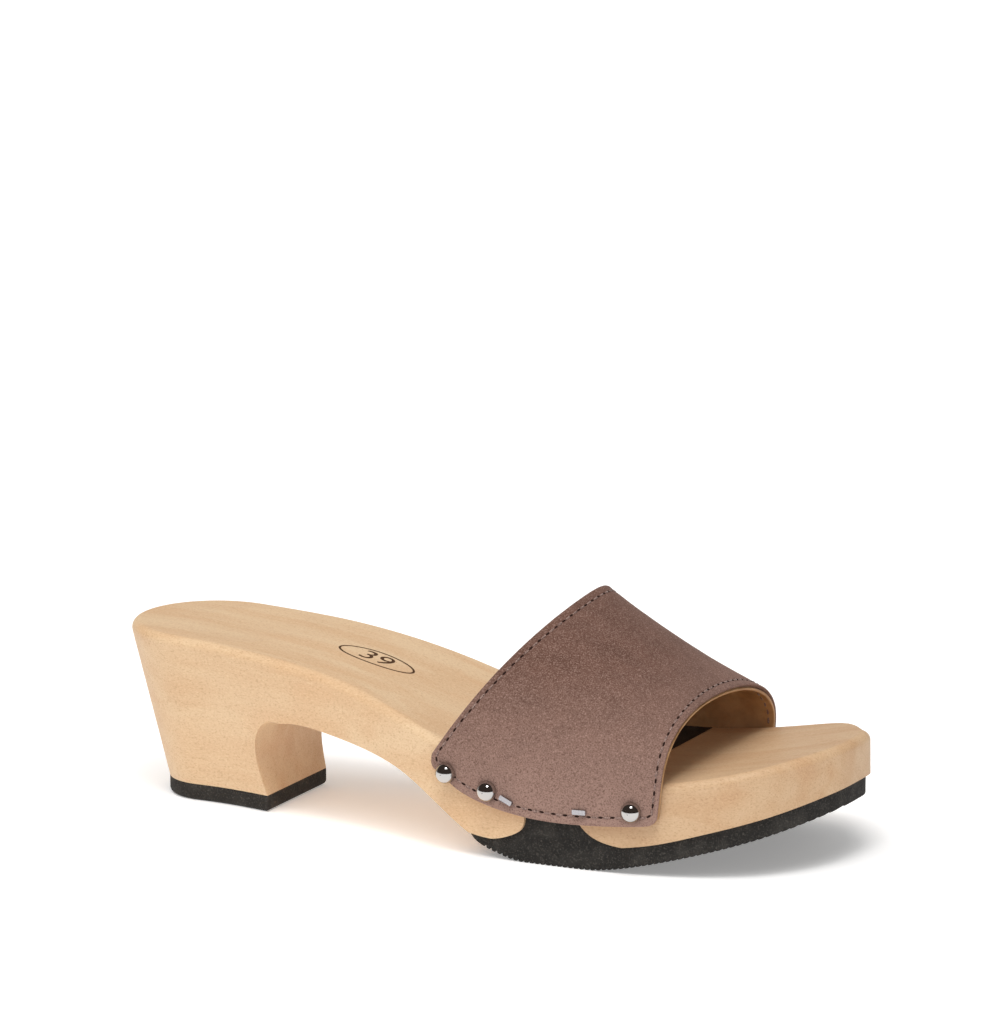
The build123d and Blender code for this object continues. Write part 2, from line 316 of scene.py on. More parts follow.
def lining_hide(finish):
    """Pigskin lining, vegetable tanned and left natural: smooth, dull, with small pores in loose rows."""
    material, tree, shader = new_material("natural_pigskin", {"Roughness": 0.62, "Specular IOR Level": 0.3})
    place = object_coordinates(tree)
    scale = 1 / (1.3 * MM)
    pores = add(tree, "ShaderNodeTexVoronoi", {"Scale": scale}, {"Vector": place}).outputs["Distance"]
    cloud = grain(tree, place, (9, 9, 9), Detail=3.0)
    colour = blended(tree, ranged(tree, cloud, 0.35, 0.7), finish.lining, finish.lining_dark)
    colour = blended(tree, ranged(tree, pores, 0.16, 0.05, 0.0, 0.45), colour, finish.lining_dark)
    tree.links.new(colour, shader.inputs["Base Color"])
    tree.links.new(bump(tree, ranged(tree, pores, 0.0, 0.3), 0.05, 0.5), shader.inputs["Normal"])
    return material


def cellular_rubber(name, finish_colour, fleck_colour):
    """Microcellular rubber, cut from sheet: near black, matt, with open cells and pale dust caught in them."""
    material, tree, shader = new_material(name, {"Roughness": 0.85, "Specular IOR Level": 0.3})
    place = object_coordinates(tree)
    scale = 1 / (0.8 * MM)                                          # cells, drawn coarse to show
    cells = add(tree, "ShaderNodeTexVoronoi", {"Scale": scale, "Randomness": 1.0}, {"Vector": place})
    dust = grain(tree, place, (0.5, 0.5, 0.5), Detail=2.0)
    haze = grain(tree, place, (6, 6, 6), Detail=3.0)
    colour = blended(tree, ranged(tree, dust, 0.52, 0.78, 0.0, 0.7), finish_colour, fleck_colour)
    colour = blended(tree, ranged(tree, haze, 0.45, 0.8, 0.0, 0.35), colour, fleck_colour)
    tree.links.new(colour, shader.inputs["Base Color"])
    depth = bump(tree, ranged(tree, cells.outputs["Distance"], 0.0, 0.5), 0.14, 0.8)
    tree.links.new(depth, shader.inputs["Normal"])
    return material


def polished_metal(name, colour, roughness, scratch):
    """Plated steel: it mirrors the room, a little blurred by fine scratches from the setting tool."""
    material, tree, shader = new_material(name, {"Base Color": colour, "Metallic": 1.0})
    wear = grain(tree, object_coordinates(tree), (0.9, 0.3, 0.9), Detail=3.0)
    tree.links.new(ranged(tree, wear, 0.35, 0.75, roughness, roughness + scratch), shader.inputs["Roughness"])
    tree.links.new(bump(tree, wear, 0.004, 0.3), shader.inputs["Normal"])
    return material


def spun_thread(finish):
    """Polyester sewing thread, twisted: a dull, slightly lighter brown than the suede, with its plies showing."""
    material, tree, shader = new_material("spun_polyester_thread", {"Roughness": 0.7, "Sheen Weight": 0.2})
    place = object_coordinates(tree)
    twist = grain(tree, place, (0.3, 0.3, 0.3), Detail=1.0)
    colour = blended(tree, ranged(tree, twist, 0.35, 0.65), finish.thread, finish.suede_dark)
    tree.links.new(colour, shader.inputs["Base Color"])
    tree.links.new(bump(tree, twist, 0.06, 0.6), shader.inputs["Normal"])
    return material


def dull_dark(name, colour):
    """Something that takes no light: the inside of a needle hole or a burnt mark, with a soft brown edge."""
    material, tree, shader = new_material(name, {"Roughness": 0.9, "Specular IOR Level": 0.1})
    soot = grain(tree, object_coordinates(tree), (0.6, 0.6, 0.6), Detail=2.0)
    pale = tuple(min(1.0, channel * 2.2) for channel in colour[:3]) + (1.0,)
    tree.links.new(blended(tree, ranged(tree, soot, 0.45, 0.8), tuple(colour), pale), shader.inputs["Base Color"])
    return material


# ---------------------------------------------------------------- settings
def colour_setting(name, description, hex_colour):
    return FloatVectorProperty(name=name, description=description, subtype="COLOR", size=4, min=0, max=1,
                               default=linear(hex_colour))


def length_setting(name, description, millimetres):
    return FloatProperty(name=name, description=description, unit="LENGTH", default=millimetres * MM, min=0)


class ClogFinish(bpy.types.PropertyGroup):
    wood: colour_setting("Wood", "Base colour of the alder", "DFC09A")
    wood_shade: colour_setting("Wood rings", "Late wood in the growth rings", "D7B28A")
    wood_warm: colour_setting("Warm patches", "Warmer patches in the wood", "D6A679")
    wood_fibre: colour_setting("Wood fibres", "Short dark fibres and pores", "B58A62")
    wood_light: colour_setting("Wood lights", "Pale specks between the fibres", "F0D6AE")
    # Painted shade: the whole toe piece is darkened to stand for the shade it lies in beside and under the strap
    toe_painted_shade: colour_setting("Toe's tone", "The toe's wood is this much darker", "EBE6E3")
    suede: colour_setting("Suede", "Nap lying towards the light", "6B4E43")
    suede_dark: colour_setting("Suede, dark", "Nap lying away from the light", "523A31")
    # Pale fibre ends, and also the painted floor light that lightens the strap towards the hem
    suede_fibres_and_bounce: colour_setting("Suede, light", "Ends of the fibres", "A7897D")
    lining: colour_setting("Lining", "Natural lining leather", "CBA276")
    lining_dark: colour_setting("Lining, dark", "Pores and darker patches of the lining", "A67C52")
    rubber: colour_setting("Sole rubber", "Rubber of the outsole and its neck", "252321")
    heel_rubber: colour_setting("Heel rubber", "Rubber of the heel tip", "2B2825")
    dust: colour_setting("Dust", "Pale dust in the rubber's cells", "5A5650")
    chrome: colour_setting("Chrome", "Plated nail heads", "BDBBB9")
    steel: colour_setting("Staple steel", "Galvanised staples", "B2B0B4")
    thread: colour_setting("Thread", "Sewing thread", "A88B80")
    needle_hole: colour_setting("Needle holes", "Dark inside of the needle holes", "2A1C18")
    mark: colour_setting("Size mark", "Burnt size mark on the footbed", "4B3526")


class ClogStrap(bpy.types.PropertyGroup):
    suede: length_setting("Suede", "Thickness of the suede", 1.35)
    lining: length_setting("Lining", "Thickness of the lining", 0.9)
    glue_line: length_setting("Glue line", "Between the suede and the lining", 0.05)
    seam_inset: length_setting("Seam inset", "The seam runs this far in from the cut edge", 3.2)
    seam_depth: length_setting("Seam depth", "The seam pulls the suede in by this much", 0.28)
    seam_width: length_setting("Seam width", "Half the width of the seam's hollow", 0.75)
    edge_round: length_setting("Edge rounding", "The cut edge is worn round over this width", 1.1)
    slack: length_setting("Slack", "Height of the strap's soft unevenness", 0.3)
    stitch_pitch: length_setting("Stitch pitch", "From one needle hole to the next", 3.9)
    stitch_length: length_setting("Stitch length", "Thread showing between two holes", 2.7)
    thread_width: length_setting("Thread", "Width of the thread", 0.7)
    hole_width: length_setting("Needle hole", "Width of a needle hole", 1.3)


class ClogTread(bpy.types.PropertyGroup):
    ripple_pitch: length_setting("Ripple pitch", "From one rib of the tread to the next", 1.85)
    ripple_depth: length_setting("Ripple depth", "Depth of the grooves between the ribs", 0.85)
    bend_step: length_setting("Bend step", "Edges this close together where the rubber bends", 1.5)


class ClogMark(bpy.types.PropertyGroup):
    size_number: StringProperty(name="Size number", description="Shoe size burnt into the footbed", default="39")
    height: length_setting("Height", "Height of the digits", 8.0)
    distance: length_setting("Distance", "Middle of the mark, from the back of the heel seat", 84.0)
    ring_length: length_setting("Ring length", "Length of the oval round the digits", 26.0)
    ring_width: length_setting("Ring width", "Width of the oval", 13.0)
    line: length_setting("Line", "Width of the oval's line", 0.75)


class ClogStage(bpy.types.PropertyGroup):
    azimuth: FloatProperty(name="Azimuth", description="Camera's direction round the clog", subtype="ANGLE",
                           default=math.radians(25.447))
    elevation: FloatProperty(name="Elevation", description="Camera's height over the horizon", subtype="ANGLE",
                             default=math.radians(13.537))
    distance: FloatProperty(name="Distance", description="From the camera to the clog", unit="LENGTH", default=1.8)
    yaw: FloatProperty(name="Yaw", description="The camera is turned off the clog by this much", subtype="ANGLE",
                       default=math.radians(0.152))
    pitch: FloatProperty(name="Pitch", description="The camera is tipped off the clog by this much",
                         subtype="ANGLE", default=math.radians(-2.135))
    lens: FloatProperty(name="Lens", description="Focal length in millimetres", default=202.91)
    floor: colour_setting("Floor", "Plain white floor", "FBFAF9")
    dim_room: colour_setting("Dim room", "What the nails mirror in front of the clog", "6E6058")
    floor_glow: FloatProperty(name="Floor glow", description="Light that comes through the floor", default=0.27)
    room: FloatProperty(name="Room light", description="Brightness of the room above the floor", default=0.37)
    window: FloatProperty(name="Window", description="Strength of the window light from above", default=1.8)
    lamp: FloatProperty(name="Lamp", description="Power of the softbox over the clog", default=3.6)


# ---------------------------------------------------------------- wood, nails and staples: the CAD nodes' finish
def dress(node, material):
    """Gives a CAD node a finish of its own."""
    for place in frame["nodes"][node].material_slots:
        place.material = material


class CLOG_OT_wood(bpy.types.Operator):
    """Finish the two pieces of the wooden sole"""
    bl_idname = "clog.wood"
    bl_label = "Wooden sole"

    def execute(self, context):
        finish = context.scene.clog_finish
        dress("rear_sole", waxed_alder(finish, "waxed_alder", linear("FFFFFF")))
        # painted shade: the toe gets a darker copy of the same alder
        dress("toe_sole", waxed_alder(finish, "waxed_alder_toe_painted_shade", finish.toe_painted_shade))
        return {"FINISHED"}


class CLOG_OT_fixings(bpy.types.Operator):
    """Finish the dome-headed nails and the staples"""
    bl_idname = "clog.fixings"
    bl_label = "Nails and staples"

    def execute(self, context):
        finish = context.scene.clog_finish
        chrome = polished_metal("chromed_steel", finish.chrome, 0.05, 0.08)
        steel = polished_metal("galvanised_steel", finish.steel, 0.22, 0.15)
        for node in frame["nodes"]:
            if "_nail_" in node:
                dress(node, chrome)
            elif "_staple_" in node:
                dress(node, steel)
        return {"FINISHED"}


# ---------------------------------------------------------------- rubber
NECK_START, NECK_END = 155.0, 171.2      # the rubber bends between the two pieces of wood
TREAD_START, TREAD_END = 141.0, 243.0    # first and last rib of the tread
NECK_GAP = 0.4 * MM                      # a little more than the frame keeps between neck and outsole


def bend_with_neck(piece):
    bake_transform(piece)


def close_cut(piece, cut, reach):
    """Joins the outsole's two halves at the line where they meet."""
    for vertex in piece.data.vertices:
        if abs(vertex.co.x - cut) < reach:
            vertex.co.x = cut
    pick(piece, lambda point: abs(point.x - cut) < reach)
    bpy.ops.mesh.delete(type="ONLY_FACE")
    bpy.ops.mesh.select_all(action="SELECT")
    bpy.ops.mesh.remove_doubles(threshold=0.15 * MM)
    bpy.ops.mesh.fill_holes(sides=0)
    bpy.ops.object.mode_set(mode="OBJECT")


def groove_cutter(sizes):
    """A comb of three-sided bars that lie across the sole along its underside."""
    underside = node_surface("outsole_rear", "outsole_toe")
    low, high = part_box("outsole_toe")
    middle_y = (low.y + high.y) / 2
    bars = []
    for place in np.arange(along(TREAD_START), along(TREAD_END), sizes.ripple_pitch):
        if abs(place - along(FLEX_POINT)) < 0.3 * MM:
            place += 0.4 * MM
        hit = underside.ray_cast(Vector((place, middle_y, -FAR)), Vector((0, 0, 1)))[0]
        slope = underside.ray_cast(Vector((place + MM, middle_y, -FAR)), Vector((0, 0, 1)))[0]
        rise = math.atan2(slope.z - hit.z, MM) if slope else 0.0
        bpy.ops.mesh.primitive_cylinder_add(vertices=3, radius=sizes.ripple_pitch * 0.56, depth=2 * FAR,
                                            location=(0, 0, 0), rotation=(math.pi / 2, 0, 0))
        bar = bpy.context.object
        settle(bar)
        top = max(v.co.z for v in bar.data.vertices)
        bar.data.transform(Matrix.Translation((0, 0, sizes.ripple_depth - top)))
        turn = Matrix.Rotation(-rise, 4, "Y")
        bar.data.transform(Matrix.Translation((hit.x, middle_y, hit.z)) @ turn)
        bars.append(bar)
    select_only(*bars)
    bpy.ops.object.join()
    return named("groove_cutter")


def close_gap(neck, tread):
    """Brings the neck's underside down onto the outsole, where the frame keeps them apart."""
    below = surface_of(tread.data)
    for vertex in neck.data.vertices:
        gap = below.find_nearest(vertex.co)[3]
        if gap < NECK_GAP and vertex.co.x > FLEX_X - MM:
            vertex.co.z -= NECK_GAP


class CLOG_OT_rubber(bpy.types.Operator):
    """Cut the rippled outsole and its neck, and finish the heel tip"""
    bl_idname = "clog.rubber"
    bl_label = "Rubber outsole"

    def execute(self, context):
        finish, sizes = context.scene.clog_finish, context.scene.clog_tread
        rubber = cellular_rubber("cellular_rubber", finish.rubber, finish.dust)
        dress("heel_tip", cellular_rubber("heel_rubber", finish.heel_rubber, finish.dust))
        tread = copy_of_nodes("tread_sole", "outsole_rear", "outsole_toe")
        close_cut(tread, along(FLEX_POINT), 0.4 * MM)
        cutter = groove_cutter(sizes)
        apply_modifier(tread, "BOOLEAN", operation="DIFFERENCE", object=cutter, solver="EXACT")
        bpy.data.objects.remove(cutter)
        neck = copy_of_nodes("rubber_neck", "flex_neck")
        close_gap(neck, tread)
        for piece in (tread, neck):
            slice_along(piece, along(NECK_START), along(NECK_END), sizes.bend_step)
            smooth(piece, 30)
            give(piece, rubber)
            bend_with_neck(piece)
        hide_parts("outsole_rear", "outsole_toe")
        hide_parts("flex_neck")
        return {"FINISHED"}


# ---------------------------------------------------------------- the strap's form
# each edge of the strap leans in side view: where its crest is, how high, and its lean per unit of height
REAR_EDGE = (155.6, 76.3, 0.715)
FRONT_EDGE = (202.9, 49.9, 0.102)
AXIS_HEIGHT = 6 * MM          # probes fan out from this height
HIGHEST_HEM = 45 * MM
EDGE_MARGIN = 0.003           # probes stay this share of the width inside the cut edges
COLUMNS, ROWS = 64, 152       # grid of the strap, across it and from hem to hem


def strap_x(share, height):
    """X on the strap at a height, from its rear edge (share 0) to its front edge (share 1)."""
    crest_x, crest_z, lean = [mix(rear, front, share) for rear, front in zip(REAR_EDGE, FRONT_EDGE)]
    return along(crest_x) + lean * (height - crest_z * MM)


def probe(surface, share, angle):
    """Distance from the strap's axis to its outer face, at an angle up from the lateral side."""
    def on_fan(reach):
        height = AXIS_HEIGHT + reach * math.sin(angle)
        return Vector((strap_x(share, height), MIDDLE_Y - reach * math.cos(angle), height))
    outside, axis = on_fan(FAR), on_fan(0.0)
    hit = surface.ray_cast(outside, (axis - outside).normalized())[0]
    if hit is None:
        return math.nan
    return math.hypot(hit.y - MIDDLE_Y, hit.z - AXIS_HEIGHT)


def hem_angle(surface, share, side):
    """Angle at which the fan meets the hem on one side."""
    low, high, reach = AXIS_HEIGHT, HIGHEST_HEM, 0.0
    for _ in range(14):
        height = (low + high) / 2
        start = Vector((strap_x(share, height), MIDDLE_Y + side * FAR, height))
        hit = surface.ray_cast(start, Vector((0, -side, 0)))[0]
        if hit is not None and (hit.y - MIDDLE_Y) * side > 0:
            high, reach = height, abs(hit.y - MIDDLE_Y)
        else:
            low = height
    rise = math.atan2(high - AXIS_HEIGHT, reach)
    return rise if side == LATERAL else math.pi - rise


def bunched(count, amount):
    """Shares from 0 to 1, closer together at both ends."""
    even = np.linspace(0, 1, count)
    return even - amount * np.sin(2 * np.pi * even) / (2 * np.pi)


STRAY = 1.2 * MM              # a probe this far off its neighbours went down a nail hole


def without_holes(reach):
    """Smooths over the spots where a probe went down a nail hole."""
    span = 5
    wide = np.pad(reach, span, mode="edge")
    rows, columns = reach.shape
    windows = [wide[i:i + rows, j:j + columns] for i in range(2 * span + 1) for j in range(2 * span + 1)]
    middle = np.nanmedian(windows, axis=0)
    stray = np.isnan(reach) | (np.abs(reach - middle) > STRAY)
    filled = np.where(stray, np.nan, reach)
    for _ in range(12):
        gaps = np.isnan(filled)
        if not gaps.any():
            break
        padded = np.pad(filled, 1, mode="edge")
        around = [padded[i:i + rows, j:j + columns] for i, j in ((0, 1), (2, 1), (1, 0), (1, 2))]
        with np.errstate(all="ignore"):
            filled = np.where(gaps, np.nanmean(around, axis=0), filled)
    for _ in range(5):
        wide = np.pad(filled, 1, mode="reflect", reflect_type="odd")
        filled = sum(wide[i:i + rows, j:j + columns] for i in range(3) for j in range(3)) / 9
    return filled


def steadied(hems, span=3):
    """The hems' angles, smoothed past the columns where a hem was sought in a nail hole."""
    count = len(hems)
    wide = np.pad(hems, ((span, span), (0, 0)), mode="edge")
    middle = np.median([wide[i:i + count] for i in range(2 * span + 1)], axis=0)
    wide = np.pad(middle, ((span, span), (0, 0)), mode="reflect", reflect_type="odd")
    return sum(wide[i:i + count] for i in range(2 * span + 1)) / (2 * span + 1)


def strap_grid():
    """Points on the strap's outer face, as an array of columns, rows and coordinates."""
    surface = node_surface("upper_suede")
    shares = mix(EDGE_MARGIN, 1 - EDGE_MARGIN, bunched(COLUMNS, 0.7))
    turns = bunched(ROWS, 0.45)
    angles, reach = np.zeros((COLUMNS, ROWS)), np.zeros((COLUMNS, ROWS))
    hems = np.array([[hem_angle(surface, share, side) for side in (LATERAL, MEDIAL)] for share in shares])
    hems = steadied(hems)
    for column, share in enumerate(shares):
        angles[column] = mix(hems[column, 0], hems[column, 1], turns)
        reach[column] = [probe(surface, share, angle) for angle in angles[column]]
    reach = without_holes(reach)
    height = AXIS_HEIGHT + reach * np.sin(angles)
    across = MIDDLE_Y - reach * np.cos(angles)
    x = np.array([strap_x(share, height[column]) for column, share in enumerate(shares)])
    return np.stack([x, across, height], axis=-1)


def outward(grid):
    """Unit normals of the grid, pointing away from the foot."""
    normal = np.cross(np.gradient(grid, axis=0), np.gradient(grid, axis=1))
    normal /= np.linalg.norm(normal, axis=-1, keepdims=True)
    rows, columns = grid.shape[:2]
    for _ in range(6):
        wide = np.pad(normal, ((1, 1), (1, 1), (0, 0)), mode="edge")
        normal = sum(wide[i:i + rows, j:j + columns] for i in range(3) for j in range(3))
        normal /= np.linalg.norm(normal, axis=-1, keepdims=True)
    from_axis = grid - np.array([0, MIDDLE_Y, AXIS_HEIGHT])
    from_axis[..., 0] = 0
    return normal * np.sign((normal * from_axis).sum(axis=-1, keepdims=True))


def edge_distances(grid):
    """Distances along the leather to the rear and front edge and to the lateral and medial hem."""
    steps_x = np.linalg.norm(np.diff(grid, axis=0), axis=-1)
    steps_y = np.linalg.norm(np.diff(grid, axis=1), axis=-1)
    rear = np.vstack([np.zeros((1, grid.shape[1])), np.cumsum(steps_x, axis=0)])
    lateral = np.hstack([np.zeros((grid.shape[0], 1)), np.cumsum(steps_y, axis=1)])
    return rear, rear[-1:] - rear, lateral, lateral[:, -1:] - lateral


def ripple(grid, size, seed):
    """Smooth noise over the grid, from -1 to 1."""
    shift = Vector((seed, 2 * seed, 0))
    return np.array([[noise.noise(Vector(point) / size + shift) for point in column] for column in grid])


def sewn(grid, sizes):
    """The outer face with its seam hollow, rounded edges and soft unevenness."""
    distances = edge_distances(grid)
    nearest = np.minimum.reduce(distances)
    seam = sizes.seam_depth * np.exp(-((nearest - sizes.seam_inset) / sizes.seam_width) ** 2)
    worn = np.clip(1 - nearest / sizes.edge_round, 0, 1) ** 2 * sizes.suede * 0.35
    inner = np.prod([np.clip((distance - sizes.seam_inset) / (14 * MM), 0, 1) for distance in distances], axis=0)
    uneven = sizes.slack * ripple(grid, 24 * MM, 3.7) * inner
    nap = 0.05 * MM * ripple(grid, 2.2 * MM, 8.1)
    return grid + outward(grid) * (uneven + nap - seam - worn)[..., None]


def sheet_mesh(name, grid, thickness):
    """A sheet with its outer face on the grid, thickened inwards and rounded."""
    deselect()
    columns, rows = grid.shape[:2]
    bpy.ops.mesh.primitive_grid_add(x_subdivisions=columns - 1, y_subdivisions=rows - 1, size=1.0)
    piece = named(name)
    piece.data.vertices.foreach_set("co", grid.transpose(1, 0, 2).astype(np.float32).ravel())
    piece.data.update()
    crest = piece.data.polygons[(columns - 1) * (rows // 2) + columns // 2]
    if crest.normal.z < 0:
        piece.data.flip_normals()
    apply_modifier(piece, "SOLIDIFY", thickness=thickness, offset=-1.0, use_even_offset=False)
    apply_modifier(piece, "SUBSURF", levels=1, render_levels=1)
    smooth(piece, 60)
    return piece


def bend_with_strap(piece):
    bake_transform(piece)


class CLOG_OT_strap(bpy.types.Operator):
    """Cut the suede and its lining and form them over the foot"""
    bl_idname = "clog.strap"
    bl_label = "Suede strap"

    def execute(self, context):
        finish, sizes = context.scene.clog_finish, context.scene.clog_strap
        grid = strap_grid()
        normals = outward(grid)
        suede = sheet_mesh("suede_strap", sewn(grid, sizes), sizes.suede)
        depth = sizes.suede + sizes.glue_line
        lining = sheet_mesh("strap_lining", grid - normals * depth, sizes.lining)
        for piece, node, slot, material in (
            (suede, "upper_suede", "suede", brushed_suede(finish)),
            (lining, "upper_lining", "lining_leather", lining_hide(finish)),
        ):
            give(piece, material)
            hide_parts(node)
            bend_with_strap(piece)
        return {"FINISHED"}


# ---------------------------------------------------------------- stitching
def seam_line(grid, inset):
    """Points of the seam, in order: lateral hem, front edge, medial hem and rear edge."""
    rear, front, lateral, medial = edge_distances(grid)

    def at_distance(points, distance):
        return np.array([np.interp(inset, distance, points[:, axis]) for axis in range(3)])

    columns, rows = grid.shape[:2]
    clear = inset * 1.3
    kept_columns = [c for c in range(columns) if min(rear[c, 8], front[c, 8]) > clear]
    kept_rows = [r for r in range(rows) if min(lateral[8, r], medial[8, r]) > clear]
    line = [at_distance(grid[c], lateral[c]) for c in kept_columns]
    line += [at_distance(grid[::-1, r], front[::-1, r]) for r in kept_rows]
    line += [at_distance(grid[c, ::-1], medial[c, ::-1]) for c in reversed(kept_columns)]
    line += [at_distance(grid[:, r], rear[:, r]) for r in reversed(kept_rows)]
    return np.array(line + line[:1])


def evenly(line, pitch):
    """Points and directions along a line, at a pitch that fits it a whole number of times."""
    steps = np.linalg.norm(np.diff(line, axis=0), axis=1)
    run = np.concatenate([[0], np.cumsum(steps)])
    count = round(run[-1] / pitch)
    def at(distance):
        return Vector([np.interp(distance % run[-1], run, line[:, axis]) for axis in range(3)])
    places = np.arange(count) * run[-1] / count
    return [(at(place), (at(place + 0.5 * MM) - at(place - 0.5 * MM)).normalized()) for place in places]


def stitch_shape(sizes):
    """One stitch, lying along X, with its ends drawn down into the leather."""
    deselect()
    bpy.ops.mesh.primitive_uv_sphere_add(segments=6, ring_count=7, radius=0.5, rotation=(0, math.pi / 2, 0))
    piece = named("stitch")
    settle(piece)
    bpy.ops.object.mode_set(mode="EDIT")
    bpy.ops.mesh.select_all(action="SELECT")
    bpy.ops.transform.resize(value=(sizes.stitch_length, sizes.thread_width, sizes.thread_width))
    bpy.ops.object.mode_set(mode="OBJECT")
    pick(piece, lambda point: abs(point.x) > 0.42 * sizes.stitch_length)
    bpy.ops.transform.translate(value=(0, 0, -0.5 * sizes.thread_width))
    bpy.ops.object.mode_set(mode="OBJECT")
    return piece


def hole_shape(sizes):
    """One needle hole: a small dark dimple, lying flat."""
    deselect()
    bpy.ops.mesh.primitive_ico_sphere_add(subdivisions=1, radius=sizes.hole_width / 2)
    piece = named("needle_hole")
    bpy.ops.object.mode_set(mode="EDIT")
    bpy.ops.mesh.select_all(action="SELECT")
    bpy.ops.transform.resize(value=(1.4, 0.62, 0.3))
    bpy.ops.object.mode_set(mode="OBJECT")
    return piece


def laid(shape, place, direction, normal, lift):
    """A copy of a shape on a surface, along a direction."""
    side = normal.cross(direction).normalized()
    ahead = side.cross(normal).normalized()
    turn = Matrix((ahead, side, normal)).transposed().to_4x4()
    twin = shape.copy()
    twin.data = shape.data.copy()
    twin.data.transform(Matrix.Translation(place + normal * lift) @ turn)
    bpy.context.scene.collection.objects.link(twin)
    return twin


class CLOG_OT_stitching(bpy.types.Operator):
    """Sew the strap round its edges, through suede and lining"""
    bl_idname = "clog.stitching"
    bl_label = "Stitching"

    def execute(self, context):
        finish, sizes = context.scene.clog_finish, context.scene.clog_strap
        outer, inner = [surface_of(bpy.data.objects[name].data) for name in ("suede_strap", "strap_lining")]
        stitch, hole = stitch_shape(sizes), hole_shape(sizes)
        give(stitch, spun_thread(finish))
        give(hole, dull_dark("needle_hole_shadow", finish.needle_hole))
        through = sizes.suede + sizes.glue_line + sizes.lining
        copies = []
        grid = strap_grid()
        for index, (place, direction) in enumerate(evenly(seam_line(grid, sizes.seam_inset), sizes.stitch_pitch / 2)):
            shape = stitch if index % 2 else hole
            lift = 0.06 * sizes.thread_width if index % 2 else 0.0
            on_suede, normal, _, _ = outer.find_nearest(place)
            copies.append(laid(shape, on_suede, direction, normal, lift))
            if shape is stitch:
                on_lining, below, _, _ = inner.find_nearest(on_suede - normal * (through + 0.3 * MM))
                copies.append(laid(shape, on_lining, direction, below, 0.0))
        select_only(*copies)
        bpy.ops.object.join()
        piece = named("strap_stitching")
        for shape in (stitch, hole):
            bpy.data.objects.remove(shape)
        smooth(piece, 60)
        bend_with_strap(piece)
        return {"FINISHED"}


# ---------------------------------------------------------------- size mark
class CLOG_OT_size_mark(bpy.types.Operator):
    """Burn the size number and an oval round it into the footbed"""
    bl_idname = "clog.size_mark"
    bl_label = "Size mark"

    def execute(self, context):
        finish, sizes = context.scene.clog_finish, context.scene.clog_mark
        middle = Vector((along(sizes.distance / MM), MIDDLE_Y, 0))
        deselect()
        bpy.ops.object.text_add(location=middle)
        text = bpy.context.object
        text.data.body = sizes.size_number
        text.data.size = sizes.height / 0.7      # a digit is seven tenths of its type size high
        text.data.align_x, text.data.align_y = "CENTER", "CENTER"
        bpy.ops.object.convert(target="MESH")
        settle(text)
        bpy.ops.mesh.primitive_circle_add(vertices=72, radius=0.5, fill_type="NGON", location=middle)
        ring = bpy.context.object
        bpy.ops.object.mode_set(mode="EDIT")
        bpy.ops.mesh.select_all(action="SELECT")
        bpy.ops.transform.resize(value=(sizes.ring_length, sizes.ring_width, 1))
        bpy.ops.mesh.inset(thickness=sizes.line)
        bpy.ops.mesh.delete(type="FACE")
        bpy.ops.object.mode_set(mode="OBJECT")
        settle(ring)
        select_only(text, ring)
        bpy.ops.object.join()
        piece = named("size_mark")
        half = sizes.ring_length / 2
        slice_along(piece, middle.x - half, middle.x + half, MM)
        wood = node_surface("rear_sole")
        skin = 0.03 * MM
        for vertex in piece.data.vertices:
            above = Vector((vertex.co.x, vertex.co.y, FAR))
            vertex.co.z = wood.ray_cast(above, Vector((0, 0, -1)))[0].z + skin
        apply_modifier(piece, "SOLIDIFY", thickness=2 * skin, offset=-1.0)
        give(piece, dull_dark("burnt_mark", finish.mark))
        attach(piece, "rear")
        return {"FINISHED"}


# ---------------------------------------------------------------- stage
AIM_DISTANCE, AIM_HEIGHT = 121.5, 30.0      # the camera turns about this point of the clog


WINDOW_RAY = (0.06, 0.4, -0.9)                # the window's light travels this way
WINDOW_SPREAD = 58.0                          # degrees of sky that it comes from
SOFTBOX_PLACE = (0.25, -0.45, 1.1)
SOFTBOX_SIZE = 0.32
LAMP_AIM = (0, 0, 0.03)                       # the middle of the clog
WALL_TILT = -0.4                              # the white wall behind is mirrored a little below the horizon
WALL_EDGE = (0.2, 0.6)                        # from where it fades into the dim room to where it is full


def softbox(name, place, aim, size, power, colour="FFFFFF"):
    """A square lamp behind a diffuser, turned to a point."""
    lamp = bpy.data.lights.new(name, "AREA")
    lamp.shape, lamp.size, lamp.energy = "SQUARE", size, power
    lamp.color = linear(colour)[:3]
    holder = bpy.data.objects.new(name, lamp)
    bpy.context.scene.collection.objects.link(holder)
    holder.location = place
    holder.rotation_mode = "QUATERNION"
    holder.rotation_quaternion = (Vector(aim) - Vector(place)).to_track_quat("-Z", "Y")
    return holder


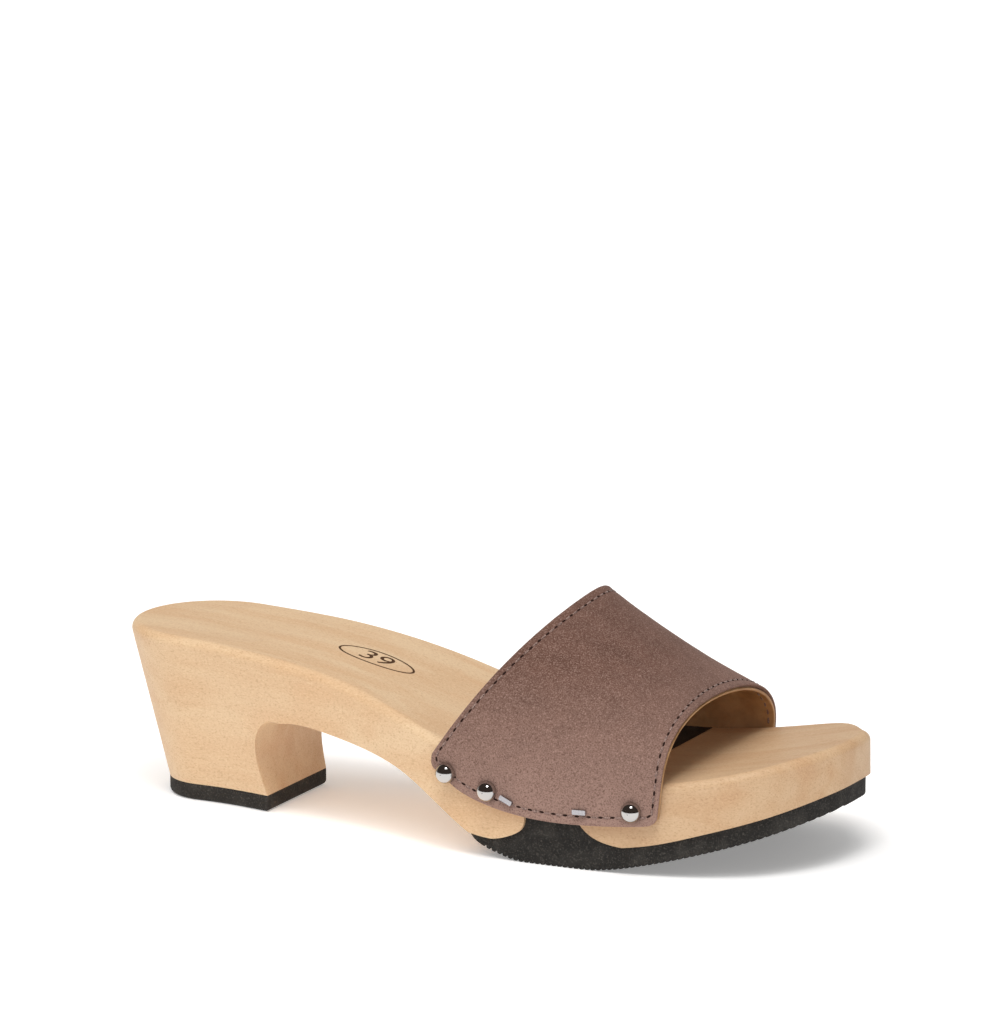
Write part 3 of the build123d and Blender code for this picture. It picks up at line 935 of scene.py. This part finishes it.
class CLOG_OT_stage(bpy.types.Operator):
    """Set the floor, the soft lights and the camera"""
    bl_idname = "clog.stage"
    bl_label = "Stage"

    def execute(self, context):
        stage = context.scene.clog_stage
        self.lay_floor(stage)
        self.set_lights(context.scene, stage)
        self.set_camera(context.scene, stage)
        return {"FINISHED"}

    def lay_floor(self, stage):
        deselect()
        bpy.ops.mesh.primitive_plane_add(size=16, location=(0, 0, 0))
        floor = named("floor")
        settings = {"Base Color": stage.floor, "Roughness": 0.9, "Emission Color": stage.floor,
                    "Emission Strength": stage.floor_glow}
        give(floor, new_material("lit_white_acrylic", settings)[0])

    def set_room(self, tree, stage):
        """Soft light from all round, while what shines mirrors a white wall behind and a dim room in front."""
        tree.nodes.clear()
        direction = add(tree, "ShaderNodeTexCoord").outputs["Generated"]
        behind = (-math.sin(stage.azimuth), math.cos(stage.azimuth), WALL_TILT)
        facing = add(tree, "ShaderNodeVectorMath", {"operation": "DOT_PRODUCT", 1: behind}, {0: direction})
        wall = ranged(tree, facing.outputs["Value"], *WALL_EDGE)
        mirrored = add(tree, "ShaderNodeLightPath").outputs["Is Glossy Ray"]
        seen = blended(tree, wall, stage.dim_room, linear("FFFFFF"))
        colour = blended(tree, mirrored, linear("FFFFFF"), seen)
        room = add(tree, "ShaderNodeBackground", {"Strength": stage.room}, {"Color": colour})
        add(tree, "ShaderNodeOutputWorld", {}, {"Surface": room.outputs[0]})

    def set_lights(self, scene, stage):
        world = bpy.data.worlds.new("studio")
        scene.world = world
        world.use_nodes = True
        self.set_room(world.node_tree, stage)
        sun = bpy.data.lights.new("window", "SUN")
        sun.energy, sun.angle = stage.window, math.radians(WINDOW_SPREAD)
        holder = bpy.data.objects.new("window", sun)
        scene.collection.objects.link(holder)
        holder.visible_glossy = False
        holder.rotation_mode = "QUATERNION"
        holder.rotation_quaternion = Vector(WINDOW_RAY).to_track_quat("-Z", "Y")
        softbox("overhead", SOFTBOX_PLACE, LAMP_AIM, SOFTBOX_SIZE, stage.lamp)
        scene.view_settings.view_transform = "Standard"

    def set_camera(self, scene, stage):
        around, above = stage.azimuth, stage.elevation
        back = Vector((math.sin(around) * math.cos(above), -math.cos(around) * math.cos(above), math.sin(above)))
        right = Vector((math.cos(around), math.sin(around), 0))
        square = Matrix((right, back.cross(right), back))
        turned = Matrix.Rotation(stage.pitch, 3, "X") @ Matrix.Rotation(stage.yaw, 3, "Y") @ square
        aim = Vector((along(AIM_DISTANCE), MIDDLE_Y, AIM_HEIGHT * MM))
        camera = bpy.data.objects.new("camera", bpy.data.cameras.new("camera"))
        scene.collection.objects.link(camera)
        camera.data.lens, camera.data.sensor_width = stage.lens, 36
        camera.matrix_world = Matrix.Translation(aim + back * stage.distance) @ turned.transposed().to_4x4()
        scene.camera = camera


# ---------------------------------------------------------------- add-on
class CLOG_PT_panel(bpy.types.Panel):
    """The clog's pieces, in the order in which they are made"""
    bl_label = "Clog"
    bl_idname = "CLOG_PT_panel"
    bl_space_type = "VIEW_3D"
    bl_region_type = "UI"
    bl_category = "Clog"

    def draw(self, context):
        for operator in PIECES:
            self.layout.operator(operator.bl_idname)
        for group in SETTINGS:
            box = self.layout.box()
            settings = getattr(context.scene, group)
            for key in settings.__annotations__:
                box.prop(settings, key)


PIECES = (CLOG_OT_wood, CLOG_OT_fixings, CLOG_OT_rubber, CLOG_OT_strap, CLOG_OT_stitching, CLOG_OT_size_mark,
          CLOG_OT_stage)
SETTINGS = {"clog_finish": ClogFinish, "clog_strap": ClogStrap, "clog_tread": ClogTread, "clog_mark": ClogMark,
            "clog_stage": ClogStage}


def register():
    for item in (*SETTINGS.values(), *PIECES, CLOG_PT_panel):
        bpy.utils.register_class(item)
    for name, group in SETTINGS.items():
        setattr(bpy.types.Scene, name, PointerProperty(type=group))


def unregister():
    for name in SETTINGS:
        delattr(bpy.types.Scene, name)
    for item in (CLOG_PT_panel, *reversed(PIECES), *SETTINGS.values()):
        bpy.utils.unregister_class(item)


def main():
    register()
    for piece in PIECES:
        family, name = piece.bl_idname.split(".")
        getattr(getattr(bpy.ops, family), name)()


if __name__ == "__main__":
    main()
